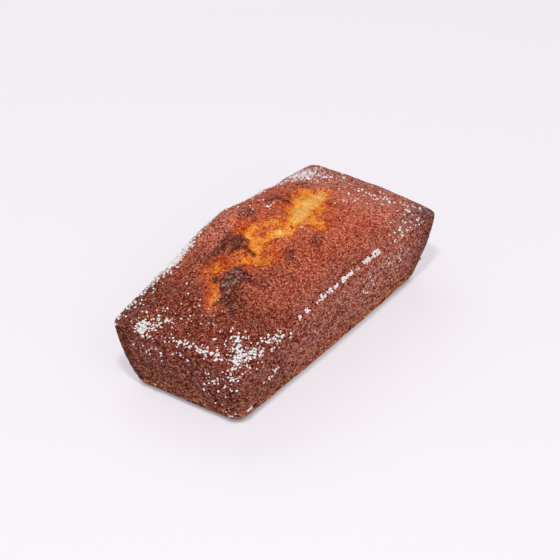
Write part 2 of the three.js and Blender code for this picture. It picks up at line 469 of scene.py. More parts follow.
class NodeSheet:
    """The nodes of one material, with its pattern measured in millimetres."""

    def __init__(self, name: str) -> None:
        """Makes the material with a Principled shader."""
        self.material = bpy.data.materials.new(name)
        self.material.use_nodes = True
        self.nodes = self.material.node_tree.nodes
        self.links = self.material.node_tree.links
        self.shader = self.nodes["Principled BSDF"]
        place = self.add("ShaderNodeTexCoord").outputs["Object"]
        scaled = self.add("ShaderNodeVectorMath", {"operation": "SCALE"}, {0: place, "Scale": 1.0 / MM})
        self.place = scaled.outputs[0]

    def add(
        self,
        kind: str,
        settings: dict[str, object] | None = None,
        inputs: dict[str | int, object] | None = None,
    ) -> bpy.types.Node:
        """Adds any node.

        Args:
            kind: The node's type.
            settings: Its settings, set before its sockets; "stops" are a ramp's positions and colours.
            inputs: Values or links of its sockets, by name or number.

        Returns:
            The node.
        """
        node = self.nodes.new(kind)
        for key, setting in (settings or {}).items():
            if key == "stops":
                self._set_stops(node.color_ramp, setting)
            else:
                setattr(node, key, setting)
        for key, value in (inputs or {}).items():
            self.feed(node.inputs[key], value)
        return node

    def feed(self, socket: bpy.types.NodeSocket, value: object) -> None:
        """Links a socket or sets its value."""
        if isinstance(value, Value):
            value = value.socket
        if isinstance(value, bpy.types.NodeSocket):
            self.links.new(value, socket)
        elif isinstance(value, tuple) and len(value) == 3 and socket.type == "RGBA":
            socket.default_value = (*value, 1.0)
        else:
            socket.default_value = value

    @staticmethod
    def _set_stops(ramp: bpy.types.ColorRamp, stops: Sequence[tuple[float, Colour]]) -> None:
        """Sets a ramp's stops."""
        while len(ramp.elements) < len(stops):
            ramp.elements.new(1.0)
        for element, (position, colour) in zip(ramp.elements, stops):
            element.position = position
            element.color = (*colour, 1.0)

    def attribute(self, name: str) -> Value:
        """A number kept on the piece's vertices."""
        node = self.add("ShaderNodeAttribute", {"attribute_name": name})
        return Value(self, node.outputs["Fac"])

    def _squashed(self, squash: float) -> bpy.types.NodeSocket:
        """Places whose heights are multiplied, so that a texture's features get lower than wide."""
        factors = {0: self.place, 1: (1.0, 1.0, squash)}
        return self.add("ShaderNodeVectorMath", {"operation": "MULTIPLY"}, factors).outputs[0]

    def noise(self, size: float, detail: float = 2.0, roughness: float = 0.5, squash: float = 1.0) -> Value:
        """Noise from 0 to 1.

        Args:
            size: Size of its features in millimetres.
            detail: Number of finer layers.
            roughness: Strength of the finer layers.
            squash: How much lower than wide its features are.

        Returns:
            The noise.
        """
        place = self._squashed(squash)
        inputs = {"Vector": place, "Scale": 1.0 / size, "Detail": detail, "Roughness": roughness}
        return Value(self, self.add("ShaderNodeTexNoise", None, inputs).outputs[0])

    def cells(self, size: float, squash: float = 1.0) -> Value:
        """Distance from the middle of the nearest cell, as a share of the cells' size in millimetres."""
        return Value(self, self._voronoi(size, squash).outputs["Distance"])

    def chance(self, size: float, squash: float = 1.0) -> Value:
        """A different share from 0 to 1 in each cell about size millimetres wide."""
        cells = self._voronoi(size, squash).outputs["Color"]
        return Value(self, self.add("ShaderNodeSeparateColor", None, {0: cells}).outputs[0])

    def pores(self, size: float, squash: float, fade: Pair, odds: Pair) -> Value:
        """Pores in the middles of some cells.

        Args:
            size: Size of the cells in millimetres.
            squash: How much lower than wide they are.
            fade: Distances from a cell's middle between which its pore fades.
            odds: Range of the cells' chances over which pores set in.

        Returns:
            1 in a pore and 0 outside it.
        """
        return (1.0 - self.cells(size, squash).rise(*fade)) * self.chance(size, squash).rise(*odds)

    def _voronoi(self, size: float, squash: float) -> bpy.types.Node:
        """Adds cells about size millimetres wide."""
        inputs = {"Vector": self._squashed(squash), "Scale": 1.0 / size}
        return self.add("ShaderNodeTexVoronoi", None, inputs)

    def mix(self, share: Value | float, first: Tint, second: Tint) -> bpy.types.NodeSocket:
        """Mixes two colours.

        Args:
            share: Share of the second colour.
            first: First colour.
            second: Second colour.

        Returns:
            The mixed colour.
        """
        inputs = {0: share, 6: first, 7: second}
        return self.add("ShaderNodeMix", {"data_type": "RGBA"}, inputs).outputs[2]

    def ramp(self, share: Value, stops: Sequence[tuple[float, Colour]]) -> bpy.types.NodeSocket:
        """Colour from a ramp."""
        return self.add("ShaderNodeValToRGB", {"stops": stops}, {0: share}).outputs[0]

    def shades(self, share: Value, tones: Tones) -> bpy.types.NodeSocket:
        """Colour from a dark, a middle and a light tone."""
        return self.ramp(share, list(zip((0.0, 0.5, 1.0), tones)))

    def bump(self, height: Value, distance: float) -> None:
        """Roughens the surface with a height, over a distance in millimetres."""
        node = self.add("ShaderNodeBump", None, {"Height": height, "Distance": distance * MM})
        self.feed(self.shader.inputs["Normal"], node.outputs[0])

    def finish(self, **inputs: object) -> bpy.types.Material:
        """Sets the shader's sockets, whose spaces are written as underscores."""
        for key, value in inputs.items():
            self.feed(self.shader.inputs[key.replace("_", " ")], value)
        return self.material


@dataclass(frozen=True)
class CrustFinish:
    """Browned crust, scorched blotches and the pale crumb in the split, with painted shade at the foot of
    the walls and painted sheen.

    Sizes are in millimetres, and a pair of them is for the top and for the walls.
    """

    top: Tones = ((0.185, 0.005, 0.001), (0.470, 0.084, 0.039), (0.780, 0.265, 0.145))
    wall: Tones = ((0.110, 0.005, 0.001), (0.455, 0.085, 0.046), (0.750, 0.370, 0.300))
    warm: Tones = ((0.230, 0.010, 0.002), (0.530, 0.098, 0.038), (0.880, 0.360, 0.215))
    baked: Tones = ((0.054, 0.003, 0.001), (0.124, 0.015, 0.006), (0.280, 0.084, 0.052))
    toasted: Tones = ((0.250, 0.008, 0.001), (0.500, 0.070, 0.013), (0.870, 0.270, 0.080))
    singed: Tones = ((0.046, 0.004, 0.001), (0.090, 0.012, 0.006), (0.200, 0.060, 0.041))
    burnt: Tones = ((0.024, 0.007, 0.004), (0.135, 0.054, 0.040), (0.450, 0.245, 0.190))
    crumbly: Tones = ((0.050, 0.003, 0.001), (0.310, 0.044, 0.016), (0.860, 0.330, 0.150))
    soot: Colour = (0.030, 0.013, 0.009)
    rose: Colour = (0.360, 0.086, 0.056)
    ember: Colour = (0.640, 0.130, 0.030)
    rind: Tones = ((0.085, 0.006, 0.002), (0.235, 0.060, 0.042), (0.520, 0.215, 0.170))
    # Painted shade for the lowest millimetres of the walls, where the foot curves under to the floor
    base_shade: Colour = (0.070, 0.028, 0.020)
    # Pale veil laid by the haze and the glints: partly fine sugar dust, partly painted sheen and painted
    # highlights
    dust_and_sheen: Colour = (0.680, 0.560, 0.530)
    amber: Colour = (0.620, 0.190, 0.025)
    dust: Colour = (0.800, 0.760, 0.760)
    crumb: tuple[tuple[float, Colour], ...] = (
        (0.00, (0.270, 0.022, 0.004)),
        (0.16, (0.475, 0.080, 0.009)),
        (0.30, (0.650, 0.162, 0.014)),
        (0.50, (0.750, 0.252, 0.026)),
        (0.75, (0.785, 0.312, 0.038)),
        (1.00, (0.790, 0.420, 0.120)),
    )
    grain_sizes: Pair = (0.52, 0.80)
    grain_squash: float = 1.9
    granule_sizes: Pair = (0.40, 0.50)
    granule_squash: float = 1.3
    foot_granule_size: float = 1.05
    sand_size: float = 0.28
    fine_size: float = 0.30
    patch_size: float = 2.2
    blotch_size: float = 6.0
    mottle_size: float = 1.3
    pore_sizes: Pair = (0.75, 1.5)
    pore_squash: float = 1.5
    fleck_size: float = 1.1
    ember_size: float = 0.7
    amber_size: float = 0.95
    glint_size: float = 0.34
    bead_size: float = 0.55

    def material(self) -> bpy.types.Material:
        """Makes the crust's material from its masks."""
        sheet = NodeSheet("crust")
        marks = ("gap", "pale", "toast", "bake", "scorch", "soot", "dust", "haze")
        gap, pale, toast, bake, scorched, sooty, dusted, haze = map(sheet.attribute, marks)
        walled, low, rim, base_shade = map(sheet.attribute, ("wall", "low", "rim", "base_shade"))
        foot = low * walled

        # Patterns about their middles
        wall_grain = sheet.noise(self.grain_sizes[1], 2.0, 0.6, self.grain_squash)
        grain = sheet.noise(self.grain_sizes[0], 2.0, 0.6).toward(wall_grain, walled) - 0.5
        fine = sheet.noise(self.fine_size, 1.0) - 0.5
        patch = sheet.noise(self.patch_size) - 0.5
        blotch = sheet.noise(self.blotch_size, 3.0) - 0.5
        wall_granule = sheet.chance(self.granule_sizes[1], self.granule_squash)
        granule = sheet.chance(self.granule_sizes[0]).toward(wall_granule, walled)
        granule = granule.toward(sheet.chance(self.foot_granule_size), foot.rise(0.70, 0.95)) - 0.5
        sand = sheet.chance(self.sand_size) - 0.5
        mottle = sheet.chance(self.mottle_size, self.granule_squash) - 0.5
        wall_pore = sheet.pores(self.pore_sizes[1], self.pore_squash, (0.14, 0.50), (0.35, 0.55))
        pored = sheet.pores(self.pore_sizes[0], 1.0, (0.10, 0.46), (0.35, 0.60)).toward(wall_pore, walled)
        speckle = granule * 0.9 + sand * (0.8 - walled * 0.4) + grain * 0.25 + fine * 0.3

        # Tones of the crust
        pits = pored * (0.40 + walled * 0.16 + haze * 4.0)
        lift = blotch * 0.5 + mottle * walled * 0.25 + walled * 0.06 + haze * 0.8 - pits
        gain = 0.92 + walled * 0.44 + foot * 0.2 + haze * 3.0
        tone = 0.488 - walled * 0.02 + speckle * gain + lift - pored * foot * 0.3
        top, wall, warm, baked, singed, crumbly, rind = (
            sheet.shades(tone, tones)
            for tones in (self.top, self.wall, self.warm, self.baked, self.singed, self.crumbly, self.rind)
        )
        toasted = sheet.shades(0.5 + patch * 1.4 + speckle * 0.4, self.toasted)
        burnt = sheet.shades(0.46 + speckle * 1.5, self.burnt)

        # Torn crumb and the toasted crust beside it
        fleck = sheet.chance(self.fleck_size).rise(0.84, 0.88) * (1.0 - pale)
        edge = gap + patch * 2.4 + granule * 2.8 + sand * 1.6 + fleck * 3.0
        near = 1.0 - (edge + blotch * 5.0).rise(0.5, 5.0)
        soft = gap + patch * 3.0 + granule * 1.2 + fleck * 3.0
        kissed = (toast + speckle * 1.2 + patch).rise(0.3, 0.8) * toast.rise(0.05, 0.5)
        pallor = pale * (0.52 + patch * 0.5)
        depth = 0.12 - gap * 0.15 - patch * 0.42 + pallor + granule * 0.6 + sand * 0.5
        crumb = sheet.ramp(depth, self.crumb)

        # Colours, each laid over the last
        rosy = (patch + grain * 0.5).rise(-0.05, 0.25) * 0.4
        ember = (sheet.noise(self.ember_size, 1.0) + fine * 0.2).rise(0.58, 0.70) * (walled - foot)
        burn = scorched * 1.55 - speckle * 0.2 + patch * 0.4
        amber = (sheet.chance(self.amber_size) + foot * 0.06).rise(0.82, 0.88) * foot
        glint = sheet.chance(self.glint_size).rise(0.90, 0.95) * bake
        white = (dusted + granule * 0.9 + grain * 0.8).rise(0.55, 0.70)
        layers = (
            (ember * 0.75, self.ember),
            (rim * (0.6 + patch * 0.9 - speckle * 0.2), rind),
            (bake * (1.0 + blotch * 0.9 - speckle * 0.4), baked),
            ((near * 0.2 + toast * 0.5) * (1.0 - bake * 0.9), warm),
            ((1.0 - soft.rise(0.0, 3.4)) * 0.65 + kissed * 0.5, toasted),
            (1.0 - edge.rise(-0.4, 0.3), crumb),
            (burn.rise(0.1, 0.9) * 0.92, singed),
            ((burn + speckle * 0.3).rise(1.00, 1.42) * 0.85, burnt),
            ((sooty * 1.5 + speckle * 0.6).rise(0.4, 1.1) * 0.9, self.soot),
            (amber * (1.0 - bake * 0.85) * 0.8, self.amber),
            # Painted shade along the bottom of the walls
            (base_shade * (0.7 + speckle * 0.5), self.base_shade),
            # Haze: partly fine sugar dust and partly painted sheen; glints: painted highlights
            (haze * (1.0 + speckle * 2.5), self.dust_and_sheen),
            (glint * 0.2, self.dust_and_sheen),
            (white * 0.92, self.dust),
        )
        colour = sheet.mix(walled, sheet.mix(rosy, top, self.rose), sheet.mix(low * 0.75, wall, crumbly))
        for share, tint in layers:
            colour = sheet.mix(share, colour, tint)

        # Relief and gloss
        beads = 1.0 - sheet.cells(self.bead_size).rise(0.0, 0.8)
        height = 0.125 + beads * 0.25 + grain * 0.15 + fine * 0.10 - pored * 0.4
        sheet.bump(height * (0.55 + walled * 0.75), 1.0)
        return sheet.finish(Base_Color=colour, Roughness=0.62 - grain * 0.5, Specular_IOR_Level=0.05)


@dataclass(frozen=True)
class SugarFinish:
    """White sugar, a little creamy where it has taken up fat."""

    white: Colour = (0.780, 0.770, 0.770)
    cream: Colour = (0.620, 0.540, 0.500)

    def material(self) -> bpy.types.Material:
        """Makes the sugar's material."""
        sheet = NodeSheet("sugar")
        tint = sheet.attribute("tint")
        mottle = sheet.noise(0.4, 1.0)
        colour = sheet.mix(tint * 0.7 + (mottle - 0.5) * 0.6, self.white, self.cream)
        sheet.bump(mottle, 0.08)
        return sheet.finish(Base_Color=colour, Roughness=0.38 + mottle * 0.2, Specular_IOR_Level=0.5)


@dataclass(frozen=True)
class CrumbFinish:
    """Loose crumbs, from golden to toasted."""

    golden: Colour = (0.780, 0.360, 0.070)
    toasted: Colour = (0.400, 0.100, 0.035)

    def material(self) -> bpy.types.Material:
        """Makes the crumbs' material."""
        sheet = NodeSheet("crumb")
        mottle = sheet.noise(0.35, 2.0)
        colour = sheet.mix(sheet.attribute("tint") + (mottle - 0.5) * 0.5, self.golden, self.toasted)
        sheet.bump(mottle, 0.1)
        return sheet.finish(Base_Color=colour, Roughness=0.7 - mottle * 0.2)


@dataclass(frozen=True)
class FloorFinish:
    """Pale matt floor, whose glow is dimmed round the loaf."""

    pale: Colour = (0.876, 0.836, 0.886)
    shade: Colour = (0.130, 0.070, 0.060)
    glow: float = 0.58
    shade_half: Pair = (41.0, 14.6)
    shade_reach: Pair = (0.8, 5.0)
    dim_reach: float = 45.0
    dim_share: float = 0.02

    def material(self) -> bpy.types.Material:
        """Makes the floor's material, lit from inside by a share of its brightness."""
        sheet = NodeSheet("floor")
        matt = tuple((1.0 - self.glow) * part for part in self.pale)
        axes = sheet.add("ShaderNodeSeparateXYZ", None, {0: sheet.place}).outputs
        out_x = (Value(sheet, axes[0]).size() - self.shade_half[0]).most(0.0)
        out_y = (Value(sheet, axes[1]).size() - self.shade_half[1]).most(0.0)
        away = (out_x * out_x + out_y * out_y).root()
        shaded = 1.0 - away.rise(*self.shade_reach)
        dimmed = (1.0 - away.rise(0.0, self.dim_reach)) * self.dim_share
        return sheet.finish(
            Base_Color=matt,
            Roughness=0.9,
            Specular_IOR_Level=0.0,
            Emission_Color=sheet.mix(shaded.most(dimmed), self.pale, self.shade),
            Emission_Strength=self.glow,
        )


@dataclass(frozen=True)
class CrustMarks:
    """Where the crust is torn, browned, scorched and dusted, and where shade and sheen are painted on it.

    Strokes, spots, bake steps and the ranges from the rim, the near side and the base are in millimetres.
    Corners, the back end, dustings and hazes are in shares of half the length and half the width.
    """

    form: LoafForm = field(default_factory=LoafForm)
    skins: tuple[Stroke, ...] = (
        ((-4.8, 9.5, 1.6), (-3.6, 6.8, 2.6), (-0.5, 5.2, 2.9), (2.0, 3.2, 2.9), (5.5, 2.6, 2.4)),
        ((-9.5, -1.5, 2.0), (-7.8, -3.4, 2.2), (-10.5, -5.0, 2.0), (-13.2, -5.8, 1.4)),
        ((-21.0, 5.0, 2.4), (-17.5, 3.9, 2.4), (-15.8, 1.0, 2.0)),
        ((-11.0, 1.2, 2.8), (-13.8, -0.4, 3.2), (-15.4, -1.6, 2.8)),
        ((-18.2, 0.6, 1.7), (-15.4, -1.2, 2.2), (-14.0, -4.2, 2.2), (-12.8, -6.2, 1.5)),
        ((9.3, -6.5, 2.6), (9.3, -9.6, 1.4)),
        ((27.0, 5.0, 3.6), (32.0, 4.0, 2.2)),
        ((-21.4, 6.0, 3.2), (-24.2, 4.6, 3.4), (-27.2, 2.8, 3.0), (-30.4, 0.2, 2.4), (-32.4, -1.4, 1.8)),
        ((-18.8, 1.6, 2.6), (-16.0, 0.4, 2.9), (-13.8, -2.0, 2.9), (-13.4, -4.6, 2.6)),
        ((-20.5, 4.8, 2.6), (-16.8, 3.6, 2.6), (-14.6, 1.6, 2.4)),
    )
    skin_depth: float = 0.9
    islands: tuple[Spot, ...] = (
        (4.7, -1.0, 0.9, 5.0),
        (-2.7, 3.0, 0.8, 3.0),
        (7.0, 3.8, 1.2, 4.0),
        (2.0, 5.0, 0.9, 2.0),
        (12.4, -2.9, 0.8, 3.0),
    )
    pales: tuple[Spot, ...] = (
        (9.6, -0.5, 2.8, 1.0),
        (12.2, 0.6, 2.6, 0.85),
        (15.5, 1.8, 3.0, 0.8),
        (20.8, 3.2, 3.4, 0.95),
        (27.0, 3.4, 3.2, 0.75),
        (11.0, -5.2, 2.4, 0.50),
        (9.5, -7.2, 2.2, 0.30),
        (19.6, 7.2, 2.0, 0.25),
        (-4.6, 4.4, 3.4, 0.60),
        (-5.6, 9.0, 3.0, -0.40),
        (-14.6, -3.0, 2.2, 0.15),
        (-13.6, -4.4, 2.4, 0.30),
        (-9.6, 0.9, 3.2, -0.10),
        (-8.5, -3.8, 2.2, -0.25),
        (1.8, 2.8, 2.0, 0.3),
        (-0.6, -1.6, 2.2, 0.75),
        (3.0, -2.6, 2.0, 0.35),
        (-31.6, -0.9, 2.0, 0.80),
        (-24.0, 4.8, 3.8, -0.50),
        (-17.2, 3.4, 3.0, -0.42),
        (-16.2, 0.2, 1.8, 0.28),
    )
    toasts: tuple[Spot, ...] = (
        (-6.4, 8.0, 2.4, 0.90),
        (-3.0, 4.4, 2.4, 0.80),
        (-22.0, 7.4, 3.2, 0.8),
        (-17.8, 5.4, 2.6, 1.0),
        (-16.5, 3.2, 2.4, 0.9),
        (-10.4, -4.6, 3.2, 0.9),
        (31.5, 2.2, 3.6, 0.8),
        (35.0, 2.5, 3.0, 0.5),
        (8.2, -8.2, 2.8, 0.8),
        (12.9, 5.5, 3.0, 0.9),
        (22.0, 8.0, 3.4, 0.4),
        (4.0, 4.0, 3.0, 0.6),
        (7.6, 9.4, 2.6, 0.5),
        (-3.4, 9.8, 2.4, 0.4),
        (3.6, 7.4, 2.4, 0.5),
    )
    scorches: tuple[Spot, ...] = (
        (-12.9, 4.4, 1.3, 0.62),
        (-10.0, 8.9, 2.6, 0.56),
        (-12.9, 9.0, 2.8, 0.60),
        (-11.6, 5.8, 2.8, 0.62),
        (-14.4, 4.7, 2.4, 0.62),
        (-12.1, 3.1, 1.8, 0.52),
        (-16.3, 6.0, 2.0, 0.42),
        (-8.5, 11.2, 2.6, 0.24),
        (-19.8, -0.4, 1.7, 0.95),
        (-21.6, -2.6, 2.4, 0.88),
        (-23.3, -0.3, 1.9, 0.95),
        (-25.4, -0.7, 2.0, 0.95),
        (-24.6, -3.0, 2.6, 0.85),
        (-27.6, -2.0, 2.4, 0.84),
        (-27.4, -4.2, 2.8, 0.68),
        (-30.6, -3.4, 2.6, 0.66),
        (-30.8, -6.3, 3.2, 0.45),
        (-35.4, -4.2, 3.0, 0.40),
        (-22.9, -5.2, 2.8, 0.42),
        (14.6, 9.3, 2.3, 0.63),
        (16.3, 12.3, 2.5, 0.44),
        (11.9, 12.2, 2.5, 0.40),
        (18.8, 10.3, 2.1, 0.42),
        (26.2, 13.0, 2.7, 0.34),
        (29.9, 12.5, 2.5, 0.40),
        (32.1, 10.8, 2.3, 0.38),
        (2.0, 11.8, 2.5, 0.52),
        (-1.3, 12.5, 2.1, 0.30),
        (-6.9, -9.0, 3.0, 0.38),
        (-6.3, -8.6, 1.3, 0.58),
        (3.4, -10.8, 2.7, 0.36),
        (3.0, -11.4, 1.2, 0.50),
        (24.5, -2.5, 2.6, 0.25),
        (20.5, -5.0, 3.0, 0.14),
        (16.5, -8.0, 3.2, 0.10),
        (28.0, 0.4, 2.4, 0.20),
        (-15.0, -10.0, 7.0, 0.30),
        (-20.5, -8.5, 4.0, 0.36),
        (-20.0, 10.8, 4.6, 0.40),
        (-25.0, 11.6, 4.2, 0.32),
        (-16.8, 9.6, 3.2, 0.48),
        (-12.2, 2.0, 1.7, 0.58),
    )
    soots: tuple[Spot, ...] = (
        (-24.8, 3.4, 1.0, 1.0),
        (-15.2, 8.9, 0.9, 0.8),
        (-12.9, 4.4, 1.0, 0.4),
        (-20.2, -0.2, 1.2, 0.5),
        (-24.4, -0.2, 1.0, 0.4),
    )
    bake_steps: tuple[Pair, ...] = (
        (-50.0, 0.92),
        (-38.0, 0.92),
        (-32.0, 0.90),
        (-25.0, 0.52),
        (-18.0, 0.34),
        (-8.0, 0.30),
        (2.0, 0.22),
        (12.0, 0.05),
        (20.0, 0.00),
        (50.0, 0.00),
    )
    bake_lean: float = 0.01
    corner_bake: float = 0.88
    back_bake: float = 0.35
    dustings: tuple[tuple[float, float, float, float, float], ...] = (
        (0.80, 0.84, 0.18, 0.20, 0.75),
        (-0.40, 0.88, 0.13, 0.09, 1.2),
        (-0.62, 0.93, 0.14, 0.05, 0.7),
        (-0.22, 0.84, 0.12, 0.06, 0.6),
        (0.40, 0.88, 0.24, 0.06, 0.72),
        (0.70, 0.90, 0.14, 0.06, 0.6),
        (-0.96, 0.50, 0.03, 0.12, 0.55),
        (-0.86, -0.88, 0.10, 0.12, 0.35),
        (0.95, -0.80, 0.05, 0.20, 0.40),
    )
    back_range: Pair = (0.62, 1.0)
    back_rows: float = 8.0
    corner_along: Pair = (0.58, 0.92)
    corner_across: Pair = (0.55, 0.95)
    corner_bake_loss: float = 0.5
    wall_bake_loss: float = 0.18
    near_edge: float = -0.99
    near_wall_bake: float = 0.75
    # The haze is partly fine sugar dust and partly painted sheen
    back_haze: float = 0.07
    back_haze_range: Pair = (0.45, 0.70)
    corner_haze: float = 0.04
    far_hazes: tuple[tuple[Pair, Pair, Pair, float], ...] = (
        ((0.80, 0.93), (-0.75, -0.5), (0.5, 0.7), 0.35),
        ((0.36, 0.55), (-0.45, -0.25), (0.05, 0.25), 0.05),
    )
    ragged_seed: int = 3
    ragged_steps: tuple[Bumps, ...] = (Bumps(1.4, 2.7, 0.0), Bumps(0.7, 1.2, 50.0))
    ragged_shift: float = 31.0
    gap_limit: float = 9.0
    rim_wall: float = 0.7
    wall_reach: float = 4.0
    wall_fade_rows: float = 10.0
    rim_range: Pair = (1.0, 9.0)
    low_range: Pair = (1.0, 15.0)
    # Heights over which the painted shade at the base of the walls fades out
    base_shade_range: Pair = (0.4, 2.6)

    def ragged(self, points: Array) -> tuple[Array, Array]:
        """Places along and across the top, moved about so that the marks on it get ragged edges."""
        noise = LatticeNoise(self.ragged_seed)
        flat = points * (1.0, 1.0, 0.0)
        moved = [
            flat[:, i] + sum(bumps.at(noise, flat + self.ragged_shift * i) for bumps in self.ragged_steps)
            for i in range(2)
        ]
        return moved[0], moved[1]

    def gap(self, x: Array, y: Array, on_top: Array) -> Array:
        """Distance from the edge of the torn crumb.

        Args:
            x: Ragged places along the length.
            y: Ragged places along the width.
            on_top: Whether each place is on the top.

        Returns:
            One distance for each place, negative in the crumb and large on the walls.
        """
        torn = stroke_distance(self.form.split, x, y)
        skin = stroke_distance(self.skins, x, y) + self.skin_depth
        gap = np.minimum(torn, skin) + spot_strength(self.islands, x, y)
        return np.where(on_top, np.clip(gap, -self.gap_limit, self.gap_limit), self.gap_limit)

    def masks(self, points: Array, places: Array) -> dict[str, Array]:
        """Shares of the crust's colours.

        Args:
            points: The loaf's vertices in millimetres, one row each.
            places: Each vertex's shares u and v and its row, which is 0 on the top.

        Returns:
            One share for each vertex, under the names that the crust's material reads.
        """
        v, row = places.T[1:]
        on_top = row == 0
        height = points[:, 2]
        x, y = self.ragged(points)
        spots = {"pale": self.pales, "toast": self.toasts, "scorch": self.scorches, "soot": self.soots}
        masks = {name: on_top * spot_strength(kind, x, y) for name, kind in spots.items()}
        from_near_side = (1.0 + v) * self.form.width / 2
        return masks | {
            "gap": self.gap(x, y, on_top),
            "bake": self._bake(points, places),
            "wall": self._wall(places),
            "dust": on_top * self._dust(places),
            "haze": on_top * self._haze(places),
            "rim": on_top * (1.0 - smoothstep(from_near_side, *self.rim_range)),
            "low": 1.0 - smoothstep(height, *self.low_range),
            # Painted shade, darkest at the base of the walls and gone a few millimetres up
            "base_shade": 1.0 - smoothstep(height, *self.base_shade_range),
        }

    def _wall(self, places: Array) -> Array:
        """Share of the walls' look, which begins on the top just inside the rim."""
        u, v, row = places.T
        below = self.rim_wall + (1.0 - self.rim_wall) * smoothstep(row, 0.0, self.wall_fade_rows)
        above = self.rim_wall * (1.0 - smoothstep(self.form.inward(u, v), 0.0, self.wall_reach))
        return np.where(row > 0, below, above)

    def _corner(self, places: Array) -> Array:
        """Share of the two corners that baked darkest."""
        u, v = places.T[:2]
        corner = smoothstep(np.abs(u), *self.corner_along) * smoothstep(np.abs(v), *self.corner_across)
        return corner * (u * v < 0)

    def _bake(self, points: Array, places: Array) -> Array:
        """Share of the dark bake, strongest at the front end and the two corners.

        Args:
            points: The vertices in millimetres.
            places: Each vertex's shares and row.

        Returns:
            One share for each vertex.
        """
        u, v, row = places.T
        steps = np.array(self.bake_steps)
        front = np.interp(points[:, 0], steps[:, 0], steps[:, 1])
        bake = (front - self.bake_lean * v) * (1.0 - self.wall_bake_loss * self._wall(places))
        bake += self.corner_bake * self._corner(places) * (1.0 - self.corner_bake_loss * front)
        above = 1.0 - smoothstep(row, 0.0, self.back_rows)
        bake += self.back_bake * above * smoothstep(u, *self.back_range)
        return bake * np.where((row > 0) & (v < self.near_edge), self.near_wall_bake, 1.0)

    def _haze(self, places: Array) -> Array:
        """Share of the pale haze at the back end, the front corner and along the far rim, partly fine sugar
        dust and partly painted sheen.
        """
        u, v = places.T[:2]
        haze = self.back_haze * smoothstep(u, *self.back_haze_range)
        haze += self.corner_haze * self._corner(places) * (u < 0)
        for across, start, end, amount in self.far_hazes:
            haze += amount * smoothstep(v, *across) * smoothstep(u, *start) * (1.0 - smoothstep(u, *end))
        return haze

    def _dust(self, places: Array) -> Array:
        """Share of fine sugar dust, from its thickest patch at each place."""
        u, v = places.T[:2]
        dust = np.zeros(len(places))
        for at_u, at_v, wide_u, wide_v, amount in self.dustings:
            away = ((u - at_u) / wide_u) ** 2 + ((v - at_v) / wide_v) ** 2
            dust = np.maximum(dust, amount * np.exp(-away))
        return dust


